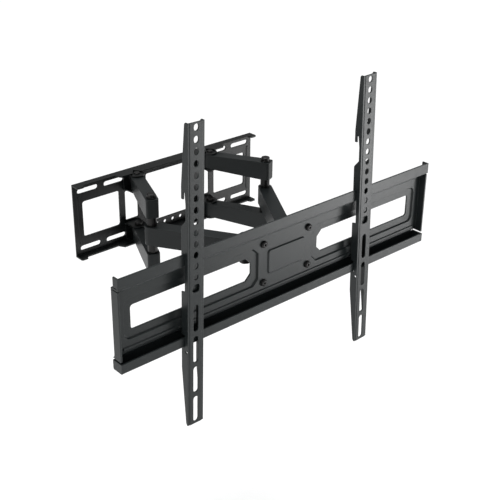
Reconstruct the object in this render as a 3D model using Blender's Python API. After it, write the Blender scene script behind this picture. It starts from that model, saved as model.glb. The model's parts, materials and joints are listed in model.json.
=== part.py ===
"""Full motion TV wall mount: a slotted wall plate, six folding arms, a swivel and tilt head, a ribbed TV plate
and two upright TV brackets that hook over it.

The origin is on the wall plate's back face, in the middle of its top band. X runs to the right as seen from the
room, +Y runs into the wall, so the mount reaches out towards -Y, and Z is up. Lengths are in metres. Every piece is
built with Z = 0 at the wall plate's centre, and the whole mount is lowered by BAND_Z at the end."""

from math import atan2, cos, hypot, pi, radians, sin

import bmesh
import bpy
from mathutils import Matrix, Vector

GAP = 0.0003  # running gap between pieces that touch on the real mount
SHEET = 0.0025  # steel sheet of the plates and the head
ARM_SHEET = 0.0023
CUT = 0.002  # how far a cutter reaches past the face that it opens
LEFT, RIGHT = -1, 1
BAND_Z = 0.053  # height of the middle of the wall plate's top band over the plate's centre

# wall plate
WALL_WIDTH, WALL_HEIGHT = 0.366, 0.124
FLANGE_END, FLANGE_MID, FLANGE_EAR = 0.012, 0.022, 0.018  # depth of the top and bottom flanges
EAR_WIDTH, MID_HALF = 0.011, 0.104
SIDE_WINDOW = (0.098, 0.167, 0.030)  # inner edge, outer edge, half height
HINGE_WINDOW = (0.062, 0.087, 0.0255)
MID_WINDOW = (0.045, -0.0425, 0.0445)  # half width, bottom, top
LAG_SLOTS = ((0.156, 0.038), (0.1075, 0.037))  # distance of the centre from the middle, length
LAG_SLOT_Z, LAG_SLOT_WIDTH = 0.0485, 0.008
SMALL_HOLES, SMALL_HOLE_PITCH, SMALL_HOLE_Z, SMALL_HOLE_R = 4, 0.0164, -0.0505, 0.0031
NOTCH_HALF, NOTCH_DEPTH = 0.009, 0.0115  # the V that clears a hinge pin

# the linkage, seen from above: shoulder on the wall, elbow, head
SHOULDER = (0.075, -0.021)
ELBOW = (0.116, -0.114)
HEAD = (0.039, -0.240)
ARM_WIDTH, FRONT_ARM_WIDTH = 0.020, 0.0226
ARM_LEVEL, ARM_HEIGHT, ARM_HEIGHT_WALL = 0.045, 0.030, 0.0246  # centre height of the upper arm, its two depths
FRONT_HEIGHT = 0.030
BOLT_R, BORE_R = 0.0039, 0.0042
SPACER_R, TUBE_R = 0.0077, 0.0080
OPEN_BORE_R = 0.0066  # the right head pivot, where the closed linkage is opened

# hinge brackets on the wall plate
HINGE_HALF, HINGE_EAR_R = 0.015, 0.012
HINGE_BOTTOM, HINGE_TOP = 0.0292, 0.0592
EAR = 0.0023

# head: link, swivel and tilt
SWIVEL_Y, TILT_Y = -0.254, -0.272
LINK_R, TONGUE_R = 0.011, 0.009
SWIVEL_HALF, SWIVEL_WEB_Y = 0.018, -0.2634
SWIVEL_EAR_R, TILT_EAR_R = 0.010, 0.0072

# TV plate, its front plane first
TV_FRONT = -0.300
TV_HALF = 0.305
TV_TOP, BAND_BOTTOM = 0.064, 0.046
TV_RECESS = 0.0134  # the main face stands this far behind the band and the lip
FACE_BOTTOM, JOGGLE = -0.056, 0.004
LIP_TOP, LIP_BOTTOM = -0.062, -0.077
FLANGE_FOOT = -0.0590  # where the end flanges stop, a slit above the lip's end caps
TV_WINDOW = (0.067, 0.277, -0.026, 0.0105)
TV_WINDOW_CHAMFER = 0.0095
PAN_MARGIN, PAN_DEPTH, PAN_SLOPE = 0.0135, 0.0028, 0.0026
CENTRE_PAD = (0.0375, -0.027, 0.0135)
PLATE_SCREW_X, PLATE_SCREW_Z = 0.0448, (0.0248, -0.0372)
RIB_HALF, RIB_HEIGHT = 0.003, 0.0019

# TV brackets
BRACKET_X = {LEFT: -0.185, RIGHT: 0.1463}
BRACKET_LEAN = {LEFT: 1.0, RIGHT: -2.0}  # degrees that each one leans on its hooks, tops towards the middle
BRACKET_TOP, BRACKET_BOTTOM = 0.2457, -0.2048
BRACKET_HALF, BRACKET_SHEET = 0.0137, 0.0020
EDGE_STEP, EDGE_STEP_WIDTH = 0.0006, 0.0034  # its face is pressed forward between two narrow edge strips
LEAN_ROOM = 0.0006  # room over the band and under the lip for that lean
BRACKET_FACE = 0.0072  # how far its face stands in front of the TV plate's front plane
FLANGE_REAR = 0.0068  # how far its side flanges reach behind that plane
HOLE_COUNT, HOLE_PITCH, HOLE_TOP = 14, 0.0161, 0.2388
HOLE_WIDTH, HOLE_HEIGHT = 0.0078, 0.0098
SLOT_COUNT, SLOT_PITCH, SLOT_TOP_Z, SLOT_LENGTH, SLOT_WIDTH = 4, 0.049, -0.0335, 0.042, 0.0085
KEY_Z, KEY_SIZE, KEY_STRAP = 0.0125, 0.0120, 0.0042  # an opening, and how deep the strap behind it stands

BLACK_COAT = ("black powder coat", (0.020, 0.022, 0.023), 0.45, 0.25)
CHARCOAL = ("charcoal powder coat", (0.075, 0.082, 0.084), 0.48, 0.30)
ARM_COAT = ("arm powder coat", (0.048, 0.052, 0.054), 0.46, 0.30)
BLACK_ZINC = ("black zinc", (0.012, 0.012, 0.013), 0.35, 0.85)
BLACK_NYLON = ("black nylon", (0.016, 0.016, 0.017), 0.55, 0.0)


def clear_scene():
    for old in list(bpy.data.objects):
        bpy.data.objects.remove(old, do_unlink=True)


def material(look):
    """The Principled material of this look, made once."""
    name, colour, roughness, metallic = look
    found = bpy.data.materials.get(name)
    if found:
        return found
    made = bpy.data.materials.new(name)
    made.use_nodes = True
    shader = made.node_tree.nodes["Principled BSDF"]
    shader.inputs["Base Color"].default_value = (*colour, 1.0)
    shader.inputs["Roughness"].default_value = roughness
    shader.inputs["Metallic"].default_value = metallic
    made.diffuse_color = (*colour, 1.0)
    return made


def place(plane, u, v, w):
    """A point given in a drawing plane: u and v in the plane, w along its normal."""
    return {"XY": (u, v, w), "XZ": (u, w, v), "YZ": (w, u, v)}[plane]


def level(value):
    """A height that can be a number or a function of u."""
    return value if callable(value) else (lambda u: value)


def add_prism(bm, plane, outline, low, high):
    """A closed prism over an outline; low and high are numbers, or functions of the outline's u."""
    low, high = level(low), level(high)
    bottom = [bm.verts.new(place(plane, u, v, low(u))) for u, v in outline]
    top = [bm.verts.new(place(plane, u, v, high(u))) for u, v in outline]
    bm.faces.new(bottom)
    bm.faces.new(list(reversed(top)))
    for i in range(len(outline)):
        j = (i + 1) % len(outline)
        bm.faces.new((bottom[i], top[i], top[j], bottom[j]))


def add_frustum(bm, plane, outline, inner, w_wide, w_narrow):
    """A closed prism whose outline changes from outline to inner, point for point."""
    wide = [bm.verts.new(place(plane, u, v, w_wide)) for u, v in outline]
    narrow = [bm.verts.new(place(plane, u, v, w_narrow)) for u, v in inner]
    bm.faces.new(wide)
    bm.faces.new(list(reversed(narrow)))
    for i in range(len(outline)):
        j = (i + 1) % len(outline)
        bm.faces.new((wide[i], narrow[i], narrow[j], wide[j]))


def add_box(bm, x, y, z):
    add_prism(bm, "XY", [(x[0], y[0]), (x[1], y[0]), (x[1], y[1]), (x[0], y[1])], z[0], z[1])


def arc(centre, radius, start, end, steps):
    """Points of an arc in degrees, ends included."""
    turns = [radians(start + (end - start) * i / steps) for i in range(steps + 1)]
    return [(centre[0] + radius * cos(t), centre[1] + radius * sin(t)) for t in turns]


def circle(centre, radius, sides):
    return arc(centre, radius, 0, 360, sides)[:-1]


def rounded_box(u, v, radius, steps=3):
    """A rectangle with round corners: u and v are its (low, high) edges."""
    corners = ((u[1], v[1], 0), (u[0], v[1], 90), (u[0], v[0], 180), (u[1], v[0], 270))
    points = []
    for cu, cv, start in corners:
        centre = (cu + (-radius if cu == u[1] else radius), cv + (-radius if cv == v[1] else radius))
        points += arc(centre, radius, start, start + 90, steps)
    return points


def obround(centre, length, width, along_u=True, steps=6):
    """A slot outline with half-round ends."""
    half, r = (length - width) / 2, width / 2
    if along_u:
        ends = ((half, 0, -90), (-half, 0, 90))
    else:
        ends = ((0, half, 0), (0, -half, 180))
    points = []
    for du, dv, start in ends:
        points += arc((centre[0] + du, centre[1] + dv), r, start, start + 180, steps)
    return points


def hull_of_circles(circles, steps=12):
    """The outline round a set of circles, each (x, y, radius), as one convex loop."""
    cloud = [p for x, y, r in circles for p in circle((x, y), r, steps * 2)]
    cloud = sorted(set((round(x, 7), round(y, 7)) for x, y in cloud))

    def half(points):
        chain = []
        for p in points:
            while len(chain) > 1 and cross(chain[-2], chain[-1], p) <= 1e-10:
                chain.pop()
            chain.append(p)
        return chain[:-1]

    return half(cloud) + half(cloud[::-1])


def cross(o, a, b):
    return (a[0] - o[0]) * (b[1] - o[1]) - (a[1] - o[1]) * (b[0] - o[0])


def new_object(name, bm, look, origin=(0, 0, 0), smooth=True):
    """A mesh object with its origin where asked; bm is in the mount's own coordinates."""
    bmesh.ops.recalc_face_normals(bm, faces=bm.faces)
    bmesh.ops.translate(bm, vec=-Vector(origin), verts=bm.verts)
    mesh = bpy.data.meshes.new(name)
    bm.to_mesh(mesh)
    bm.free()
    if smooth:
        mesh.shade_smooth()
        mesh.set_sharp_from_angle(angle=radians(32))
    mesh.materials.append(material(look))
    made = bpy.data.objects.new(name, mesh)
    made.location = origin
    bpy.context.scene.collection.objects.link(made)
    return made


def tool(target, name, bm, operation):
    """Fuses or cuts target with a hidden helper, by an exact Boolean."""
    helper = new_object(name, bm, BLACK_NYLON, smooth=True)
    helper.hide_render = True
    helper.display_type = "WIRE"
    modifier = target.modifiers.new(name, "BOOLEAN")
    modifier.operation = operation
    modifier.solver = "EXACT"
    modifier.object = helper
    return helper


def cut(target, name, bm):
    return tool(target, name, bm, "DIFFERENCE")


def fuse(target, name, bm):
    return tool(target, name, bm, "UNION")


def pivot(name, at, parent=None):
    """An empty on a joint's axis, which carries the pieces that turn about it."""
    empty = bpy.data.objects.new(name, None)
    empty.empty_display_size = 0.02
    bpy.context.scene.collection.objects.link(empty)
    empty.location = at
    hold(empty, parent)
    return empty


def hold(child, parent):
    """Parents child where it stands."""
    if parent is None:
        return
    bpy.context.view_layer.update()
    child.parent = parent
    child.matrix_parent_inverse = parent.matrix_world.inverted()


def side_name(side):
    return "left" if side == LEFT else "right"


def mirrored(outline, side):
    return [(side * x, y) for x, y in outline]


# ---- wall plate ----


def wall_flange_outline():
    """The top and bottom flange seen from above: full depth in the middle, ears at the ends, a V at each hinge."""
    x, y = SHOULDER
    right = [
        (0.0, -FLANGE_MID),
        (x - NOTCH_HALF, -FLANGE_MID),
        (x, -FLANGE_MID + NOTCH_DEPTH),
        (x + NOTCH_HALF, -FLANGE_MID),
        (MID_HALF, -FLANGE_MID),
        (MID_HALF + 0.006, -FLANGE_END),
        (WALL_WIDTH / 2 - EAR_WIDTH - 0.003, -FLANGE_END),
        (WALL_WIDTH / 2 - EAR_WIDTH, -FLANGE_EAR),
        (WALL_WIDTH / 2 - 0.002, -FLANGE_EAR),
        (WALL_WIDTH / 2, -FLANGE_EAR + 0.002),
        (WALL_WIDTH / 2, 0.0),
    ]
    return right + [(-px, py) for px, py in reversed(right[1:])]


def make_wall_plate():
    half_w, half_h = WALL_WIDTH / 2, WALL_HEIGHT / 2
    bm = bmesh.new()
    add_prism(bm, "XZ", [(-half_w, -half_h), (half_w, -half_h), (half_w, half_h), (-half_w, half_h)], -SHEET, 0)
    plate = new_object("wall_plate", bm, BLACK_COAT)

    bm = bmesh.new()
    outline = wall_flange_outline()
    add_prism(bm, "XY", outline, half_h - SHEET, half_h)
    add_prism(bm, "XY", outline, -half_h, -half_h + SHEET)
    fuse(plate, "wall_plate_flanges", bm)

    bm = bmesh.new()
    for side in (LEFT, RIGHT):
        x = side * (half_w - 0.0085)
        wide = obround((x, 0), 0.082, 0.006, along_u=False, steps=4)
        narrow = obround((x, 0), 0.079, 0.003, along_u=False, steps=4)
        add_frustum(bm, "XZ", wide, narrow, -SHEET + 0.0005, -SHEET - 0.0010)
    fuse(plate, "wall_plate_beads", bm)

    bm = bmesh.new()
    deep = (-SHEET - CUT, CUT)
    for side in (LEFT, RIGHT):
        near, far, high = SIDE_WINDOW
        add_prism(bm, "XZ", mirrored(rounded_box((near, far), (-high, high), 0.004), side), *deep)
        near, far, high = HINGE_WINDOW
        add_prism(bm, "XZ", mirrored(rounded_box((near, far), (-high, high), 0.002), side), *deep)
        for centre, length in LAG_SLOTS:
            for z in (LAG_SLOT_Z, -LAG_SLOT_Z):
                add_prism(bm, "XZ", obround((side * centre, z), length, LAG_SLOT_WIDTH), *deep)
    half, low, high = MID_WINDOW
    add_prism(bm, "XZ", rounded_box((-half, half), (low, high), 0.003), *deep)
    for i in range(SMALL_HOLES):
        x = (i - (SMALL_HOLES - 1) / 2) * SMALL_HOLE_PITCH
        add_prism(bm, "XZ", circle((x, SMALL_HOLE_Z), SMALL_HOLE_R, 12), *deep)
    cut(plate, "wall_plate_openings", bm)
    return plate


def make_hinge_bracket(side, up):
    """A U on the wall plate that holds one wall arm between its ears."""
    name = f"hinge_bracket_{side_name(side)}_{'upper' if up > 0 else 'lower'}"
    x, y = side * SHOULDER[0], SHOULDER[1]
    back = -SHEET - GAP
    span = sorted((up * HINGE_BOTTOM, up * HINGE_TOP))
    bm = bmesh.new()
    add_box(bm, (x - HINGE_HALF, x + HINGE_HALF), (back - SHEET, back), span)
    bracket = new_object(name, bm, BLACK_COAT, origin=(x, y, sum(span) / 2))
    bm = bmesh.new()
    ear = arc((x, y), HINGE_EAR_R, 180, 360, 12) + [(x + HINGE_HALF - 0.001, back - 0.001)]
    ear += [(x - HINGE_HALF + 0.001, back - 0.001)]
    add_prism(bm, "XY", ear, span[0], span[0] + EAR)
    add_prism(bm, "XY", ear, span[1] - EAR, span[1])
    fuse(bracket, name + "_ears", bm)
    bm = bmesh.new()
    add_prism(bm, "XY", circle((x, y), BORE_R, 20), span[0] - CUT, span[1] + CUT)
    cut(bracket, name + "_bore", bm)
    return bracket


def make_bolt(name, at, shaft, head, look, origin, head_r=0.0065, chamfer=0.0007):
    """A bolt on a vertical axis: shaft and head are (bottom, top); the hexagon head has a chamfered end."""
    head_up = head[0] >= shaft[1] - 1e-9
    tip = shaft[0] if head_up else shaft[1]
    root = head[0] if head_up else head[1]
    crown = head[1] if head_up else head[0]
    inward = chamfer if head_up else -chamfer
    rings = [(tip, BOLT_R - chamfer), (tip + inward, BOLT_R), (root, BOLT_R)]
    bm = bmesh.new()
    loops = [[bm.verts.new((px, py, z)) for px, py in circle(at, r, 18)] for z, r in rings]
    bm.faces.new(loops[0])
    for lower, upper in zip(loops, loops[1:]):
        for i in range(18):
            bm.faces.new((lower[i], lower[(i + 1) % 18], upper[(i + 1) % 18], upper[i]))
    under = hexagon_ring(bm, at, head_r, root)
    for i in range(18):
        bm.faces.new((loops[-1][i], loops[-1][(i + 1) % 18], under[(i + 1) % 18], under[i]))
    edge = hexagon_ring(bm, at, head_r, crown - inward)
    top = [bm.verts.new((px, py, crown)) for px, py in circle(at, head_r * 0.86, 18)]
    for a, b in ((under, edge), (edge, top)):
        for i in range(18):
            bm.faces.new((a[i], a[(i + 1) % 18], b[(i + 1) % 18], b[i]))
    bm.faces.new(top)
    return new_object(name, bm, look, origin=origin)


def hexagon_ring(bm, at, flat, z, sides=18):
    """Points of a hexagon, half its width across flats away, on the same spokes as a circle."""
    ring = []
    for i in range(sides):
        turn = 2 * pi * i / sides
        off = (turn + pi / 6) % (pi / 3) - pi / 6
        reach = flat / cos(off)
        ring.append(bm.verts.new((at[0] + reach * cos(turn), at[1] + reach * sin(turn), z)))
    return ring


def make_ring(name, at, inner, outer, low, high, look, origin, hexagonal=False, sides=18):
    """A washer, spacer or nut: a closed ring on a vertical axis."""
    bm = bmesh.new()
    loops = []
    for z, r, hexed in ((low, outer, hexagonal), (high, outer, hexagonal), (high, inner, False), (low, inner, False)):
        if hexed:
            loops.append(hexagon_ring(bm, at, r, z, sides))
        else:
            loops.append([bm.verts.new((px, py, z)) for px, py in circle(at, r, sides)])
    for k in range(4):
        a, b = loops[k], loops[(k + 1) % 4]
        for i in range(sides):
            bm.faces.new((a[i], a[(i + 1) % sides], b[(i + 1) % sides], b[i]))
    return new_object(name, bm, look, origin=origin)


# ---- arms ----


def arm_outline(length, width, inset, square_end):
    """An arm seen from above, from its round first end: u runs to the second pivot. It mirrors about v = 0."""
    r = width / 2 - inset
    points = arc((0, 0), r, 180, 270, 6)
    points += [(0.013, -r), (length - 0.012, -r)]
    if square_end:
        end, corner = length + width / 2 - inset, 0.0035 - min(inset, 0.0025)
        points += arc((end - corner, -r + corner), corner, 270, 360, 3)
    else:
        points += arc((length, 0), r, -90, 0, 6)
    below = [(u, v) for u, v in points if abs(v) > 1e-9]
    return points + [(u, -v) for u, v in reversed(below)]


def add_tapered(bm, outline, low, high):
    """A prism over an arm outline, with low and high as functions of u; its roof is made of strips across it."""
    count = len(outline)
    rings = [[bm.verts.new((u, v, depth(u))) for u, v in outline] for depth in (low, high)]
    for ring in rings:
        k = 0
        while count - k - 1 > k + 1:
            strip = [ring[k], ring[k + 1], ring[count - k - 1]]
            if k:
                strip.append(ring[count - k])
            bm.faces.new(strip)
            k += 1
        if count - k > k + 1:
            bm.faces.new((ring[k], ring[k + 1], ring[count - k]))
    for i in range(count):
        j = (i + 1) % count
        bm.faces.new((rings[0][i], rings[1][i], rings[1][j], rings[0][j]))


def make_arm(name, start, end, width, span_start, span_end, look, origin, square_end=True):
    """A pressed channel with its open side down, and a bearing tube at each pivot."""
    length = hypot(end[0] - start[0], end[1] - start[1])
    turn = atan2(end[1] - start[1], end[0] - start[0])
    to_mount = Matrix.Translation((start[0], start[1], 0)) @ Matrix.Rotation(turn, 4, "Z")

    def between(a, b):
        return lambda u: a + (b - a) * min(max((u - 0.013) / (length - 0.025), 0.0), 1.0)

    floor, roof = between(span_start[0], span_end[0]), between(span_start[1], span_end[1])
    bm = bmesh.new()
    add_tapered(bm, arm_outline(length, width, 0, square_end), floor, roof)
    bm.transform(to_mount)
    arm = new_object(name, bm, look, origin=origin)

    bm = bmesh.new()
    inner = arm_outline(length, width, ARM_SHEET, square_end)
    add_tapered(bm, inner, lambda u: floor(u) - CUT, lambda u: roof(u) - ARM_SHEET)
    bm.transform(to_mount)
    cut(arm, name + "_hollow", bm)

    bm = bmesh.new()
    for u, span in ((0.0, span_start), (length, span_end)):
        add_prism(bm, "XY", circle((u, 0), TUBE_R - 0.0004, 18), span[0] + 0.0001, span[1] - ARM_SHEET / 2)
    bm.transform(to_mount)
    fuse(arm, name + "_tubes", bm)

    bm = bmesh.new()
    for u, span in ((0.0, span_start), (length, span_end)):
        add_prism(bm, "XY", circle((u, 0), BORE_R, 18), span[0] - CUT, span[1] + CUT)
    bm.transform(to_mount)
    cut(arm, name + "_bores", bm)
    return arm


# ---- head ----


def make_head_link():
    """Two plates over and under the front arms' ends, joined by the swivel barrel and a short web."""
    high = FRONT_HEIGHT / 2 + GAP
    bar = hull_of_circles([(-HEAD[0], HEAD[1], LINK_R), (HEAD[0], HEAD[1], LINK_R)])
    tongue = hull_of_circles([(0, HEAD[1], TONGUE_R), (0, SWIVEL_Y, TONGUE_R)])
    bm = bmesh.new()
    add_prism(bm, "XY", bar, high, high + SHEET)
    link = new_object("head_link", bm, ARM_COAT, origin=(-HEAD[0], HEAD[1], 0))
    bm = bmesh.new()
    add_prism(bm, "XY", bar, -high - SHEET, -high)
    fuse(link, "head_link_lower_bar", bm)
    bm = bmesh.new()
    add_prism(bm, "XY", tongue, high, high + SHEET)
    add_prism(bm, "XY", tongue, -high - SHEET, -high)
    fuse(link, "head_link_tongues", bm)
    bm = bmesh.new()
    add_prism(bm, "XY", circle((0, SWIVEL_Y), TUBE_R, 18), -high - SHEET / 2, high + SHEET / 2)
    add_box(bm, (-0.010, 0.010), (HEAD[1] + 0.0045, HEAD[1] + 0.007), (-high - SHEET / 2, high + SHEET / 2))
    fuse(link, "head_link_barrel", bm)
    bm = bmesh.new()
    tall = high + SHEET + CUT
    add_prism(bm, "XY", circle((-HEAD[0], HEAD[1]), BORE_R, 18), -tall, tall)
    add_prism(bm, "XY", circle((HEAD[0], HEAD[1]), OPEN_BORE_R, 18), -tall, tall)
    add_prism(bm, "XY", circle((0, SWIVEL_Y), BORE_R, 18), -tall, tall)
    cut(link, "head_link_bores", bm)
    return link


def cheek_outline(root_y, root_half, ear_r):
    """A cheek seen from the side, from its root to the round ear on the tilt axis."""
    if root_y > TILT_Y:
        return [(root_y, -root_half), (root_y, root_half)] + arc((TILT_Y, 0), ear_r, 90, 270, 10)
    return arc((TILT_Y, 0), ear_r, -90, 90, 10) + [(root_y, root_half), (root_y, -root_half)]


def make_swivel_bracket():
    """Turns about the swivel bolt and carries the tilt bolt."""
    ear = FRONT_HEIGHT / 2 + SHEET + 2 * GAP
    web = (SWIVEL_WEB_Y - SHEET, SWIVEL_WEB_Y)
    bm = bmesh.new()
    add_box(bm, (-SWIVEL_HALF, SWIVEL_HALF), web, (-ear - SHEET, ear + SHEET))
    bracket = new_object("swivel_bracket", bm, ARM_COAT, origin=(0, SWIVEL_Y, 0))
    bm = bmesh.new()
    plan = [(-SWIVEL_HALF + 0.0005, web[0] + 0.001), (SWIVEL_HALF - 0.0005, web[0] + 0.001)]
    plan += [(SWIVEL_HALF - 0.0005, web[1] + 0.001)]
    plan += arc((0, SWIVEL_Y), SWIVEL_EAR_R, 0, 180, 12)
    plan += [(-SWIVEL_HALF + 0.0005, web[1] + 0.001)]
    for low in (ear, -ear - SHEET):
        add_prism(bm, "XY", plan, low, low + SHEET)
    fuse(bracket, "swivel_bracket_ears", bm)
    bm = bmesh.new()
    for side in (LEFT, RIGHT):
        inner, outer = SWIVEL_HALF - SHEET, SWIVEL_HALF
        low, high = sorted((side * inner, side * outer))
        add_prism(bm, "YZ", cheek_outline(web[1] - 0.001, 0.015, TILT_EAR_R), low, high)
    fuse(bracket, "swivel_bracket_cheeks", bm)
    bm = bmesh.new()
    add_prism(bm, "XY", circle((0, SWIVEL_Y), BORE_R, 18), -0.03, 0.03)
    cut(bracket, "swivel_bracket_swivel_bore", bm)
    bm = bmesh.new()
    add_prism(bm, "YZ", circle((TILT_Y, 0), BORE_R, 18), -0.03, 0.03)
    cut(bracket, "swivel_bracket_tilt_bore", bm)
    return bracket


def make_tilt_bracket():
    """Is screwed to the back of the TV plate and turns about the tilt bolt."""
    plate_back = TV_FRONT + TV_RECESS + SHEET
    base = (plate_back + GAP, plate_back + GAP + SHEET)
    middle = sum(PLATE_SCREW_Z) / 2
    half_x, half_z = PLATE_SCREW_X + 0.0078, (PLATE_SCREW_Z[0] - PLATE_SCREW_Z[1]) / 2 + 0.0095
    bm = bmesh.new()
    outline = rounded_box((-half_x, half_x), (middle - half_z, middle + half_z), 0.005)
    add_prism(bm, "XZ", outline, base[0], base[1])
    bracket = new_object("tilt_bracket", bm, ARM_COAT, origin=(0, TILT_Y, 0))
    bm = bmesh.new()
    inner = SWIVEL_HALF + GAP + 0.0001
    for side in (LEFT, RIGHT):
        low, high = sorted((side * inner, side * (inner + SHEET)))
        add_prism(bm, "YZ", cheek_outline(base[0] + 0.001, 0.020, TILT_EAR_R), low, high)
    fuse(bracket, "tilt_bracket_cheeks", bm)
    bm = bmesh.new()
    add_prism(bm, "YZ", circle((TILT_Y, 0), BORE_R, 18), -0.04, 0.04)
    cut(bracket, "tilt_bracket_tilt_bore", bm)
    bm = bmesh.new()
    for x in (-PLATE_SCREW_X, PLATE_SCREW_X):
        for z in PLATE_SCREW_Z:
            add_prism(bm, "XZ", circle((x, z), 0.0034, 14), base[0] - CUT, base[1] + CUT)
    cut(bracket, "tilt_bracket_screw_holes", bm)
    return bracket


def lay_along_x(made, origin):
    """Turns a piece that was built upright at the world's centre, so that its +Z points along +X, and moves it."""
    made.data.transform(Matrix.Rotation(radians(90), 4, "Y"))
    made.location = origin


def make_tilt_fasteners():
    """The tilt bolt across the head, and the lobed knob that clamps it."""
    cheek = SWIVEL_HALF + 2 * GAP + 0.0001 + SHEET
    origin = (0, TILT_Y, 0)
    bolt = make_bolt("tilt_bolt", (0, 0), (-0.0325, cheek + GAP), (cheek + GAP, cheek + 0.0052), BLACK_ZINC, (0, 0, 0))
    lay_along_x(bolt, origin)
    lobes, steps = 5, 30
    outline = []
    for i in range(steps):
        turn = 2 * pi * i / steps
        reach = 0.0061 + 0.0009 * cos(lobes * turn)
        outline.append((reach * cos(turn), reach * sin(turn)))
    bm = bmesh.new()
    add_prism(bm, "XY", outline, -cheek - 0.0095, -cheek - 0.0025)
    knob = new_object("tilt_knob", bm, BLACK_NYLON)
    bm = bmesh.new()
    add_prism(bm, "XY", circle((0, 0), 0.0056, 18), -cheek - 0.0030, -cheek - GAP)
    hub = fuse(knob, "tilt_knob_hub", bm)
    bm = bmesh.new()
    add_prism(bm, "XY", circle((0, 0), BORE_R, 18), -0.0365, 0)
    bore = cut(knob, "tilt_knob_bore", bm)
    for piece in (knob, hub, bore):
        lay_along_x(piece, origin)
    return bolt, knob


# ---- TV plate ----


def tv_profile():
    """The TV plate's section: top band, step back to the main face, joggle, floor and upright lip."""
    front, main = TV_FRONT, TV_FRONT + TV_RECESS
    deep = main + JOGGLE
    bend = 0.0012
    outer = [
        (front, TV_TOP),
        (front, BAND_BOTTOM + bend),
        (front + bend, BAND_BOTTOM),
        (main - bend, BAND_BOTTOM),
        (main, BAND_BOTTOM - bend),
        (main, FACE_BOTTOM),
        (deep, FACE_BOTTOM - JOGGLE),
        (deep, LIP_BOTTOM + SHEET),
        (front + SHEET, LIP_BOTTOM + SHEET),
        (front + SHEET, LIP_TOP),
        (front, LIP_TOP),
        (front, LIP_BOTTOM + bend),
        (front + bend, LIP_BOTTOM),
        (deep + SHEET - bend, LIP_BOTTOM),
        (deep + SHEET, LIP_BOTTOM + bend),
        (deep + SHEET, FACE_BOTTOM - JOGGLE + 0.0005),
        (main + SHEET, FACE_BOTTOM + 0.0010),
        (main + SHEET, BAND_BOTTOM + SHEET - bend),
        (main + SHEET - bend, BAND_BOTTOM + SHEET),
        (front + SHEET, BAND_BOTTOM + SHEET),
        (front + SHEET, TV_TOP),
    ]
    return outer


def tv_window(side, grow=0.0):
    """A window outline with its two inner corners cut off; grow moves every edge outwards."""
    near, far, low, high = TV_WINDOW
    near, far, low, high = near - grow, far + grow, low - grow, high + grow
    chamfer, r = TV_WINDOW_CHAMFER, 0.0045 + grow * 0.4
    right = [(near, low + chamfer), (near + chamfer, low)]
    right += arc((far - r, low + r), r, 270, 360, 3)
    right += arc((far - r, high - r), r, 0, 90, 3)
    right += [(near + chamfer, high), (near, high - chamfer)]
    return mirrored(right, side)


def make_tv_plate():
    front, main = TV_FRONT, TV_FRONT + TV_RECESS
    bm = bmesh.new()
    add_prism(bm, "YZ", tv_profile(), -TV_HALF, TV_HALF)
    plate = new_object("tv_plate", bm, CHARCOAL, origin=(0, TILT_Y, 0))

    bm = bmesh.new()
    for side in (LEFT, RIGHT):
        low, high = sorted((side * (TV_HALF - SHEET), side * TV_HALF))
        end = [(front + 0.0014, -0.0595), (main + SHEET - 0.0004, -0.0595), (main + SHEET - 0.0004, 0.0445)]
        end += [(front + 0.0014, 0.0445)]
        add_prism(bm, "YZ", end, low, high)
        tab = [(front + 0.0004, 0.0500), (front + 0.0110, 0.0500), (front + 0.0110, TV_TOP), (front + 0.0004, TV_TOP)]
        add_prism(bm, "YZ", tab, low, high)
        cap = [(front + 0.0004, LIP_BOTTOM + 0.0004), (main + JOGGLE + 0.0010, LIP_BOTTOM + 0.0004)]
        cap += [(main + JOGGLE + 0.0010, LIP_TOP - 0.0003), (front + 0.0004, LIP_TOP - 0.0003)]
        add_prism(bm, "YZ", cap, low, high)
    fuse(plate, "tv_plate_ends", bm)

    bm = bmesh.new()
    half, low, high = CENTRE_PAD
    wide = rounded_box((-half, half), (low, high), 0.005)
    narrow = rounded_box((-half + 0.0022, half - 0.0022), (low + 0.0022, high - 0.0022), 0.0032)
    add_frustum(bm, "XZ", wide, narrow, main + 0.0005, main - 0.0020)
    for z in (BAND_BOTTOM - 0.0065, -0.0500):
        wide = obround((0, z), 2 * TV_HALF - 0.022, 2 * RIB_HALF, steps=4)
        narrow = obround((0, z), 2 * TV_HALF - 0.025, RIB_HALF, steps=4)
        add_frustum(bm, "XZ", wide, narrow, main + 0.0005, main - RIB_HEIGHT)
    fuse(plate, "tv_plate_ribs", bm)

    back = main + SHEET
    bm = bmesh.new()
    for side in (LEFT, RIGHT):
        wide, narrow = tv_window(side, PAN_MARGIN - 0.0004), tv_window(side, PAN_MARGIN - PAN_SLOPE)
        add_frustum(bm, "XZ", wide, narrow, back - 0.0005, back + PAN_DEPTH)
    fuse(plate, "tv_plate_pan_backs", bm)
    bm = bmesh.new()
    for side in (LEFT, RIGHT):
        wide, narrow = tv_window(side, PAN_MARGIN), tv_window(side, PAN_MARGIN - PAN_SLOPE)
        add_frustum(bm, "XZ", wide, narrow, main - CUT, main + PAN_DEPTH)
    cut(plate, "tv_plate_pans", bm)

    bm = bmesh.new()
    deep = (main - CUT, back + PAN_DEPTH + CUT)
    rear = main + JOGGLE + SHEET
    for side in (LEFT, RIGHT):
        add_prism(bm, "XZ", tv_window(side), *deep)
        for z in PLATE_SCREW_Z:
            add_prism(bm, "XZ", circle((side * PLATE_SCREW_X, z), 0.0034, 14), *deep)
        low, high = sorted((side * (TV_HALF - 0.0085), side * (TV_HALF + CUT)))
        add_box(bm, (low, high), (front - CUT, rear + CUT), (LIP_TOP - 0.0003, FLANGE_FOOT))
    cut(plate, "tv_plate_openings", bm)
    return plate


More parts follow.
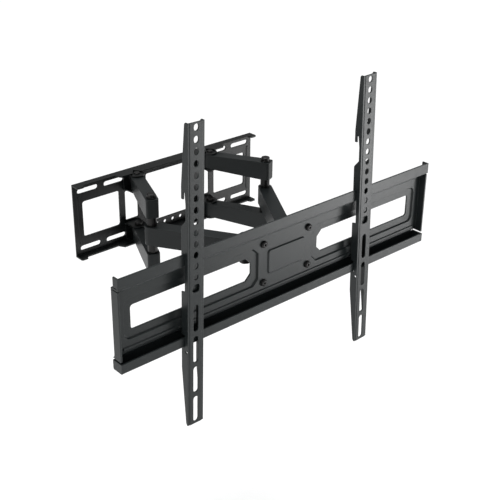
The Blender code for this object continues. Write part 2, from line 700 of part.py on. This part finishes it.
def make_plate_screw(index, x, z):
    """A pan-head screw from the front, through the TV plate and the tilt bracket."""
    face = TV_FRONT + TV_RECESS - GAP
    tip = face + 0.0125
    rings = [(face - 0.0038, 0.0034), (face - 0.0028, 0.0051), (face, 0.0058), (face, 0.0030), (tip, 0.0030)]
    bm = bmesh.new()
    loops = [[bm.verts.new((px, y, pz)) for px, pz in circle((x, z), r, 16)] for y, r in rings]
    bm.faces.new(loops[0])
    bm.faces.new(loops[-1])
    for a, b in zip(loops, loops[1:]):
        for i in range(16):
            bm.faces.new((a[i], a[(i + 1) % 16], b[(i + 1) % 16], b[i]))
    screw = new_object(f"plate_screw_{index}", bm, BLACK_ZINC, origin=(x, face, z))
    bm = bmesh.new()
    add_prism(bm, "XZ", circle((x, z), 0.0020, 6), face - 0.0050, face - 0.0015)
    cut(screw, f"plate_screw_{index}_socket", bm)
    return screw


def make_plate_nut(index, x, z):
    back = TV_FRONT + TV_RECESS + 2 * SHEET + 2 * GAP
    nut = make_ring(f"plate_nut_{index}", (0, 0), 0.0033, 0.0050, GAP, 0.0045, BLACK_ZINC, (0, 0, 0), hexagonal=True)
    nut.data.transform(Matrix.Rotation(radians(-90), 4, "X"))
    nut.location = (x, back, z)
    return nut


# ---- TV brackets ----


def bracket_profile():
    """A TV bracket's side flange: spare hook, hook over the TV plate's band, gap for its lip, taper to the tip."""
    face, rear = TV_FRONT - BRACKET_FACE, TV_FRONT + FLANGE_REAR
    narrow = TV_FRONT - GAP
    tongue = TV_FRONT + SHEET + GAP
    spare = 0.077
    hook_foot, hook_roof = 0.0502, TV_TOP + GAP + LEAN_ROOM
    rear_edge = [
        (narrow + 0.0005, BRACKET_TOP - 0.002),
        (rear, 0.160),
        (rear, hook_foot + spare + 0.0145),
        (tongue, hook_foot + spare + 0.0145),
        (tongue, hook_roof + spare + 0.0100),
        (narrow, hook_roof + spare + 0.0100),
        (narrow - 0.0020, 0.1350),
        (narrow - 0.0020, 0.1130),
        (rear, 0.1020),
        (rear, hook_foot + 0.002),
        (rear - 0.001, hook_foot),
        (tongue, hook_foot),
        (tongue, hook_roof),
        (narrow, hook_roof),
        (narrow, 0.0085),
        (rear, 0.0070),
        (rear, LIP_TOP + 0.0040),
        (narrow, LIP_TOP + 0.0025),
        (narrow, LIP_BOTTOM - GAP - LEAN_ROOM),
        (rear, LIP_BOTTOM - GAP - LEAN_ROOM),
        (rear, -0.1120),
        (narrow - 0.0022, BRACKET_BOTTOM + 0.003),
        (narrow - 0.0045, BRACKET_BOTTOM),
    ]
    return [(face, BRACKET_BOTTOM), (face, BRACKET_TOP), (narrow - 0.001, BRACKET_TOP)] + rear_edge


def make_tv_bracket(side):
    """An upright channel whose side flanges carry the hooks. It is cut upright and then leans about its top hook."""
    name = f"tv_bracket_{side_name(side)}"
    x = BRACKET_X[side]
    face = TV_FRONT - BRACKET_FACE
    bm = bmesh.new()
    add_prism(bm, "YZ", bracket_profile(), x - BRACKET_HALF, x + BRACKET_HALF)
    bracket = new_object(name, bm, CHARCOAL, origin=(x, TV_FRONT, TV_TOP))
    helpers = []

    bm = bmesh.new()
    inside = BRACKET_HALF - BRACKET_SHEET
    low, high = BRACKET_BOTTOM - CUT, BRACKET_TOP + CUT
    add_box(bm, (x - inside, x + inside), (face + BRACKET_SHEET, TV_FRONT + FLANGE_REAR + CUT), (low, high))
    helpers.append(cut(bracket, name + "_channel", bm))

    half = KEY_SIZE / 2
    bm = bmesh.new()
    strap = (face + KEY_STRAP, face + KEY_STRAP + BRACKET_SHEET)
    add_box(bm, (x - inside - 0.0005, x + inside + 0.0005), strap, (KEY_Z - 0.0125, KEY_Z + 0.0100))
    helpers.append(fuse(bracket, name + "_key_strap", bm))

    bm = bmesh.new()
    shelf = face + EDGE_STEP
    for edge in (LEFT, RIGHT):
        start, end = sorted((x + edge * (BRACKET_HALF - EDGE_STEP_WIDTH), x + edge * (BRACKET_HALF + CUT)))
        add_box(bm, (start, end), (face - CUT, shelf), (low, high))
    helpers.append(cut(bracket, name + "_edge_steps", bm))

    bm = bmesh.new()
    deep = (face - CUT, face + BRACKET_SHEET + CUT)
    for i in range(HOLE_COUNT):
        z = HOLE_TOP - i * HOLE_PITCH
        add_prism(bm, "XZ", obround((x, z), HOLE_HEIGHT, HOLE_WIDTH, along_u=False, steps=6), *deep)
    for i in range(SLOT_COUNT):
        z = SLOT_TOP_Z - i * SLOT_PITCH
        add_prism(bm, "XZ", obround((x, z), SLOT_LENGTH, SLOT_WIDTH, along_u=False, steps=6), *deep)
    add_prism(bm, "XZ", rounded_box((x - half, x + half), (KEY_Z - half, KEY_Z + half), 0.003), *deep)
    helpers.append(cut(bracket, name + "_holes", bm))

    bm = bmesh.new()
    lock = circle((TV_FRONT - 0.0035, LIP_BOTTOM - 0.0075), 0.0022, 10)
    add_prism(bm, "YZ", lock, x - BRACKET_HALF - CUT, x + BRACKET_HALF + CUT)
    helpers.append(cut(bracket, name + "_lock_holes", bm))
    for helper in helpers:
        hold(helper, bracket)
    bracket.rotation_euler.y = radians(BRACKET_LEAN[side])
    return bracket


# ---- assembly ----


def make_side(side, root):
    """The wall arms, the elbow and the front arm of one side."""
    word = side_name(side)
    shoulder = (side * SHOULDER[0], SHOULDER[1])
    elbow = (side * ELBOW[0], ELBOW[1])
    head = (side * HEAD[0], HEAD[1])
    fold = pivot(f"axis_{word}_shoulder", (*shoulder, 0), root)
    bend = pivot(f"axis_{word}_elbow", (*elbow, 0), fold)

    for up, where in ((1, "upper"), (-1, "lower")):
        hold(make_hinge_bracket(side, up), root)
        top, bottom = HINGE_TOP + GAP, HINGE_BOTTOM - GAP
        at = (*shoulder, up * (HINGE_TOP + HINGE_BOTTOM) / 2)
        rim = (top, top + 0.0018)
        shaft = (bottom, top)
        crown = (bottom - 0.0042, bottom)
        bm = bmesh.new()
        make_pin(bm, shoulder, up, shaft, rim, crown)
        hold(new_object(f"hinge_pin_{word}_{where}", bm, BLACK_ZINC, origin=at), root)

        wall_span = sorted((up * (ARM_LEVEL - ARM_HEIGHT_WALL / 2 - 0.0008), up * (ARM_LEVEL + ARM_HEIGHT_WALL / 2 - 0.0008)))
        elbow_span = sorted((up * (ARM_LEVEL - ARM_HEIGHT / 2), up * (ARM_LEVEL + ARM_HEIGHT / 2)))
        arm = make_arm(
            f"wall_arm_{word}_{where}", shoulder, elbow, ARM_WIDTH, wall_span, elbow_span, ARM_COAT, (*shoulder, 0)
        )
        hold(arm, fold)
        gap_span = sorted((up * (FRONT_HEIGHT / 2 + GAP), up * (ARM_LEVEL - ARM_HEIGHT / 2 - GAP)))
        spacer = make_ring(
            f"elbow_spacer_{word}_{where}", elbow, BORE_R, SPACER_R, *gap_span, BLACK_ZINC, (*elbow, gap_span[0])
        )
        hold(spacer, fold)

    top = ARM_LEVEL + ARM_HEIGHT / 2 + GAP
    washer = make_ring(
        f"elbow_washer_{word}", elbow, BORE_R, 0.0080, top, top + 0.0014, BLACK_ZINC, (*elbow, top)
    )
    seat = top + 0.0014 + GAP
    bolt = make_bolt(
        f"elbow_bolt_{word}", elbow, (-top - 0.0085, seat), (seat, seat + 0.0052), BLACK_ZINC, (*elbow, 0)
    )
    nut = make_ring(
        f"elbow_nut_{word}", elbow, BORE_R, 0.0065, -top - 0.0062, -top, BLACK_ZINC, (*elbow, -top), hexagonal=True
    )
    for piece in (washer, bolt, nut):
        hold(piece, fold)

    half = FRONT_HEIGHT / 2
    front = make_arm(
        f"front_arm_{word}",
        elbow,
        head,
        FRONT_ARM_WIDTH,
        (-half, half),
        (-half, half),
        ARM_COAT,
        (*elbow, 0),
        square_end=False,
    )
    hold(front, bend)
    return bend


def make_pin(bm, at, up, shaft, rim, crown):
    """A hinge pin: a hexagon crown on the inner ear, a riveted rim on the outer one. up mirrors it."""
    sides = 18
    rings = [(crown[0], 0.0054, False), (crown[0] + 0.0007, 0.0064, True), (crown[1], 0.0064, True)]
    rings += [(shaft[0], BOLT_R, False), (shaft[1], BOLT_R, False), (rim[0], 0.0051, False), (rim[1], 0.0044, False)]
    loops = []
    for z, r, hexed in rings:
        if hexed:
            loops.append(hexagon_ring(bm, at, r, up * z, sides))
        else:
            loops.append([bm.verts.new((px, py, up * z)) for px, py in circle(at, r, sides)])
    bm.faces.new(loops[0])
    bm.faces.new(loops[-1])
    for a, b in zip(loops, loops[1:]):
        for i in range(sides):
            bm.faces.new((a[i], a[(i + 1) % sides], b[(i + 1) % sides], b[i]))


def make_head(left_bend, right_bend):
    """The link between the front arms, the swivel, the tilt and everything that the TV hangs on."""
    link_axis = pivot("axis_head_link", (-HEAD[0], HEAD[1], 0), left_bend)
    swivel = pivot("axis_swivel", (0, SWIVEL_Y, 0), link_axis)
    tilt = pivot("axis_tilt", (0, TILT_Y, 0), swivel)
    hold(make_head_link(), link_axis)

    link_top = FRONT_HEIGHT / 2 + SHEET + 2 * GAP
    for side, carrier in ((LEFT, link_axis), (RIGHT, right_bend)):
        at = (side * HEAD[0], HEAD[1])
        word = side_name(side)
        bolt = make_bolt(
            f"head_bolt_{word}", at, (-link_top - 0.0070, link_top), (link_top, link_top + 0.0048), BLACK_ZINC, (*at, 0),
            head_r=0.0080,
        )
        nut = make_ring(
            f"head_nut_{word}", at, BORE_R, 0.0080, -link_top - 0.0052, -link_top, BLACK_ZINC, (*at, -link_top),
            hexagonal=True,
        )
        hold(bolt, carrier)
        hold(nut, carrier)

    ear_top = link_top + SHEET + GAP
    at = (0, SWIVEL_Y)
    bolt = make_bolt(
        "swivel_bolt", at, (-ear_top - 0.0066, ear_top), (ear_top, ear_top + 0.0048), BLACK_ZINC, (*at, 0)
    )
    nut = make_ring(
        "swivel_nut", at, BORE_R, 0.0065, -ear_top - 0.0052, -ear_top, BLACK_ZINC, (*at, -ear_top), hexagonal=True
    )
    hold(bolt, link_axis)
    hold(nut, link_axis)
    hold(make_swivel_bracket(), swivel)

    tilt_bolt, knob = make_tilt_fasteners()
    hold(tilt_bolt, swivel)
    hold(knob, swivel)
    hold(make_tilt_bracket(), tilt)
    hold(make_tv_plate(), tilt)
    index = 0
    for x in (-PLATE_SCREW_X, PLATE_SCREW_X):
        for z in PLATE_SCREW_Z:
            index += 1
            hold(make_plate_screw(index, x, z), tilt)
            hold(make_plate_nut(index, x, z), tilt)
    for side in (LEFT, RIGHT):
        hold(make_tv_bracket(side), tilt)


def main():
    clear_scene()
    wall_plate = make_wall_plate()
    bends = {side: make_side(side, wall_plate) for side in (LEFT, RIGHT)}
    make_head(bends[LEFT], bends[RIGHT])
    for made in bpy.data.objects:
        if made.parent is None:
            made.location.z -= BAND_Z


main()
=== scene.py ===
"""The looks of a full motion TV wall mount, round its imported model: camera, studio and coats."""

import json
from math import cos, radians, sin

import bpy
from mathutils import Matrix, Vector

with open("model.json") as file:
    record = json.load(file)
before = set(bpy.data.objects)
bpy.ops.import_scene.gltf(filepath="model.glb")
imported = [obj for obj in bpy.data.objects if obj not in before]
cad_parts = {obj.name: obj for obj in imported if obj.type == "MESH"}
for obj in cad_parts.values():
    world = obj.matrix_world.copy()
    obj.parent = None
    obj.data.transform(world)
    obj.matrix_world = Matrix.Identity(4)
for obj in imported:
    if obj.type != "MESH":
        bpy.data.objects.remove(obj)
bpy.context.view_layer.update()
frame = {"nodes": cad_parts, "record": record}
NODES = frame["nodes"]

AZIMUTH, ELEVATION, ROLL = -41.696, 24.708, 0.581  # degrees
TARGET = Vector((0.04014, -0.150, -0.05522))
DISTANCE = 1.5413
LENS, SHIFT = 69.70, (0.0102, -0.0701)

FLOOR_Z, FLOOR_SIZE, FLOOR_SHADE = -0.62, 14, 0.93
WORLD_STRENGTH = 0.30
SKY_FROM, SKY_STRENGTH, SKY_SPREAD = (0.3, 0.35, 3.0), 2.6, 50  # place, W/m2, degrees
# Each softbox: name, place, what it points at, its two sides, watts
SOFTBOXES = (
    ("key_left", (-1.9, -0.9, 1.0), (0, -0.2, 0), (1.3, 1.3), 12),
    ("right_low", (1.05, -1.25, -0.35), (0.12, -0.28, 0), (0.55, 0.5), 10),
)

# Noise scales of the coats, in features per metre
CLOUDS, PEEL, GRAIN = 14, 900, 3200
COAT_TINT = (0.80, 1.0, 1.03)
# Radii that the shading rounds edges to, in metres
COAT_EDGE, PLATED_EDGE, MOULDED_EDGE = 0.0009, 0.0005, 0.0006
COAT_SPECULAR = 0.24
PLATE_METALLIC, PLATE_WORN_SHADE = 0.85, 0.16


# ---- camera and studio ----


def make_camera():
    az, el, roll = radians(AZIMUTH), radians(ELEVATION), radians(ROLL)
    back = Vector((sin(az) * cos(el), -cos(az) * cos(el), sin(el)))
    level = Vector((0, 0, 1)).cross(back).normalized()
    upright = back.cross(level)
    right = cos(roll) * level + sin(roll) * upright
    up = cos(roll) * upright - sin(roll) * level
    data = bpy.data.cameras.new("camera")
    data.lens = LENS
    data.shift_x, data.shift_y = SHIFT
    camera = bpy.data.objects.new("camera", data)
    bpy.context.scene.collection.objects.link(camera)
    turn = Matrix((right, up, back)).transposed().to_4x4()
    camera.matrix_world = Matrix.Translation(TARGET + back * DISTANCE) @ turn
    bpy.context.scene.camera = camera


def make_area(name, at, aim, size, power):
    data = bpy.data.lights.new(name, "AREA")
    data.shape = "RECTANGLE"
    data.size, data.size_y = size
    data.energy = power
    lamp = bpy.data.objects.new(name, data)
    bpy.context.scene.collection.objects.link(lamp)
    turn = (Vector(aim) - Vector(at)).to_track_quat("-Z", "Y").to_matrix().to_4x4()
    lamp.matrix_world = Matrix.Translation(at) @ turn


def make_sky_light(name, at, strength, spread):
    """A broad, even light from above that reaches the floor as far as the camera sees it."""
    data = bpy.data.lights.new(name, "SUN")
    data.energy = strength
    data.angle = radians(spread)
    lamp = bpy.data.objects.new(name, data)
    bpy.context.scene.collection.objects.link(lamp)
    turn = Vector(at).to_track_quat("Z", "Y").to_matrix().to_4x4()
    lamp.matrix_world = Matrix.Translation(at) @ turn


def make_studio():
    world = bpy.data.worlds.new("studio")
    bpy.context.scene.world = world
    world.use_nodes = True
    shade = world.node_tree.nodes["Background"]
    shade.inputs["Color"].default_value = (1.0, 1.0, 1.0, 1.0)
    shade.inputs["Strength"].default_value = WORLD_STRENGTH
    for name, at, aim, sides, watts in SOFTBOXES:
        make_area(name, at, aim, sides, watts)
    make_sky_light("overhead", SKY_FROM, SKY_STRENGTH, SKY_SPREAD)
    bpy.ops.mesh.primitive_plane_add(size=FLOOR_SIZE, location=(0, 0, FLOOR_Z))
    floor = bpy.context.object
    floor.name = "floor"
    made = bpy.data.materials.new("floor")
    made.use_nodes = True
    shader = made.node_tree.nodes["Principled BSDF"]
    shader.inputs["Base Color"].default_value = grey(FLOOR_SHADE)
    shader.inputs["Roughness"].default_value = 0.9
    shader.inputs["Specular IOR Level"].default_value = 0.1
    floor.data.materials.append(made)
    bpy.context.scene.view_settings.view_transform = "Standard"


# ---- materials ----


class Graph:
    """A short way to add and join the nodes of one material."""

    def __init__(self, name):
        self.material = bpy.data.materials.new(name)
        self.material.use_nodes = True
        self.tree = self.material.node_tree
        self.shader = self.tree.nodes["Principled BSDF"]

    def add(self, kind, settings=None, **inputs):
        """A new node. Its inputs are given by name, or by number as n0, n1 and so on."""
        made = self.tree.nodes.new(kind)
        for key, value in (settings or {}).items():
            setattr(made, key, value)
        for key, value in inputs.items():
            numbered = key[0] == "n" and key[1:].isdigit()
            self.feed(made.inputs[int(key[1:]) if numbered else key], value)
        return made

    def feed(self, socket, value):
        """Links another node's output to the socket, or sets the socket to a plain value."""
        if hasattr(value, "links"):
            self.tree.links.new(value, socket)
        else:
            socket.default_value = value

    def noise(self, scale, detail=2.0, roughness=0.5):
        """A noise over the object's own coordinates, as a 0 to 1 socket."""
        if not hasattr(self, "place"):
            self.place = self.add("ShaderNodeTexCoord").outputs["Object"]
        sizes = {"Scale": scale, "Detail": detail, "Roughness": roughness}
        made = self.add("ShaderNodeTexNoise", Vector=self.place, **sizes)
        return made.outputs["Fac"]

    def math(self, operation, a, b=0.0):
        return self.add("ShaderNodeMath", {"operation": operation}, n0=a, n1=b).outputs[0]

    def span(self, value, low, high, to_low, to_high):
        """Value from one range to another, held at its ends."""
        made = self.add("ShaderNodeMapRange", n0=value, n1=low, n2=high, n3=to_low, n4=to_high)
        return made.outputs[0]

    def mix(self, factor, a, b):
        made = self.add("ShaderNodeMix", {"data_type": "RGBA"})
        for index, value in ((0, factor), (6, a), (7, b)):
            self.feed(made.inputs[index], value)
        return made.outputs[2]

    def edges(self, radius):
        """A socket that is 1 along edges and 0 on faces, and the rounded normal that it comes from."""
        bevel = self.add("ShaderNodeBevel", {"samples": 6}, Radius=radius)
        true = self.add("ShaderNodeNewGeometry").outputs["Normal"]
        rounded = bevel.outputs[0]
        dot = self.add("ShaderNodeVectorMath", {"operation": "DOT_PRODUCT"}, n0=rounded, n1=true)
        return self.span(dot.outputs["Value"], 0.995, 0.86, 0.0, 1.0), rounded

    def set(self, name, value):
        self.feed(self.shader.inputs[name], value)


def grey(level, tint=(1.0, 1.0, 1.0)):
    return (level * tint[0], level * tint[1], level * tint[2], 1.0)


def powder_coat(name, level, roughness):
    """Satin powder coat: fine orange peel over slow clouds of shade, with edges painted brighter,
    partly as wear and partly as a painted highlight.
    """
    g = Graph(name)
    slow, fine, grain = g.noise(CLOUDS, 3), g.noise(PEEL, 2, 0.6), g.noise(GRAIN, 1)
    edge, soft = g.edges(COAT_EDGE)
    # Brighter edges: partly edge wear, partly a painted highlight along the edges
    bright_edge_mask = g.math("MULTIPLY", edge, g.span(g.noise(120, 3, 0.6), 0.40, 0.68, 0.10, 0.75))
    body = g.mix(slow, grey(level * 0.88, COAT_TINT), grey(level * 1.12, COAT_TINT))
    speck = g.mix(g.span(grain, 0.35, 0.7, 0.0, 0.22), body, grey(level * 1.7, COAT_TINT))
    # Colour of the edges: partly worn coat, partly a painted highlight
    wear_and_highlight_edge = grey(level * 3.6 + 0.03, COAT_TINT)
    g.set("Base Color", g.mix(g.math("MULTIPLY", bright_edge_mask, 0.6), speck, wear_and_highlight_edge))
    rough = g.span(fine, 0.3, 0.7, roughness - 0.05, roughness + 0.07)
    g.set("Roughness", g.math("SUBTRACT", rough, g.math("MULTIPLY", bright_edge_mask, 0.08)))
    height = g.math("ADD", g.math("MULTIPLY", fine, 0.55), g.math("MULTIPLY", grain, 0.25))
    bump = g.add("ShaderNodeBump", Height=height, Strength=0.22, Distance=0.0004, Normal=soft)
    g.set("Normal", bump.outputs[0])
    g.set("Specular IOR Level", COAT_SPECULAR)
    return g.material


def plated(name, level, roughness):
    """Black zinc plate: metal, a little blotchy, with bright worn corners."""
    g = Graph(name)
    slow, fine = g.noise(160, 3, 0.6), g.noise(1600, 2)
    edge, soft = g.edges(PLATED_EDGE)
    bright_edge_mask = g.math("MULTIPLY", edge, g.span(g.noise(300, 2), 0.35, 0.65, 0.15, 0.9))
    body = g.mix(slow, grey(level * 0.7, (1.0, 1.0, 1.04)), grey(level * 1.4, (1.02, 1.0, 0.98)))
    g.set("Base Color", g.mix(g.math("MULTIPLY", bright_edge_mask, 0.6), body, grey(PLATE_WORN_SHADE)))
    g.set("Roughness", g.span(slow, 0.3, 0.7, roughness - 0.06, roughness + 0.10))
    bump = g.add("ShaderNodeBump", Height=fine, Strength=0.12, Distance=0.0002, Normal=soft)
    g.set("Normal", bump.outputs[0])
    g.set("Metallic", PLATE_METALLIC)
    return g.material


def moulded(name, level, roughness):
    """Moulded nylon with a fine spark-eroded grain."""
    g = Graph(name)
    slow, grain = g.noise(40, 2), g.noise(2200, 2, 0.7)
    edge, soft = g.edges(MOULDED_EDGE)
    body = g.mix(slow, grey(level * 0.9), grey(level * 1.15))
    g.set("Base Color", g.mix(g.math("MULTIPLY", edge, 0.25), body, grey(level * 3)))
    g.set("Roughness", g.span(grain, 0.3, 0.7, roughness - 0.06, roughness + 0.08))
    bump = g.add("ShaderNodeBump", Height=grain, Strength=0.3, Distance=0.0003, Normal=soft)
    g.set("Normal", bump.outputs[0])
    return g.material


def make_materials():
    """One material for each slot: its shade and its roughness."""
    return {
        "black_coat": powder_coat("black_coat", 0.004, 0.38),
        "charcoal_coat": powder_coat("charcoal_coat", 0.016, 0.34),
        "arm_coat": powder_coat("arm_coat", 0.011, 0.38),
        "black_zinc": plated("black_zinc", 0.022, 0.34),
        "black_nylon": moulded("black_nylon", 0.016, 0.5),
    }


def coat_everything():
    """Gives every CAD node the material of its slot."""
    looks = make_materials()
    for entry in frame["record"]["subparts"]:
        node = NODES[entry["node"]]
        node.data.materials.clear()
        node.data.materials.append(looks[entry["material_slot"]])


def main():
    make_camera()
    make_studio()
    coat_everything()


main()
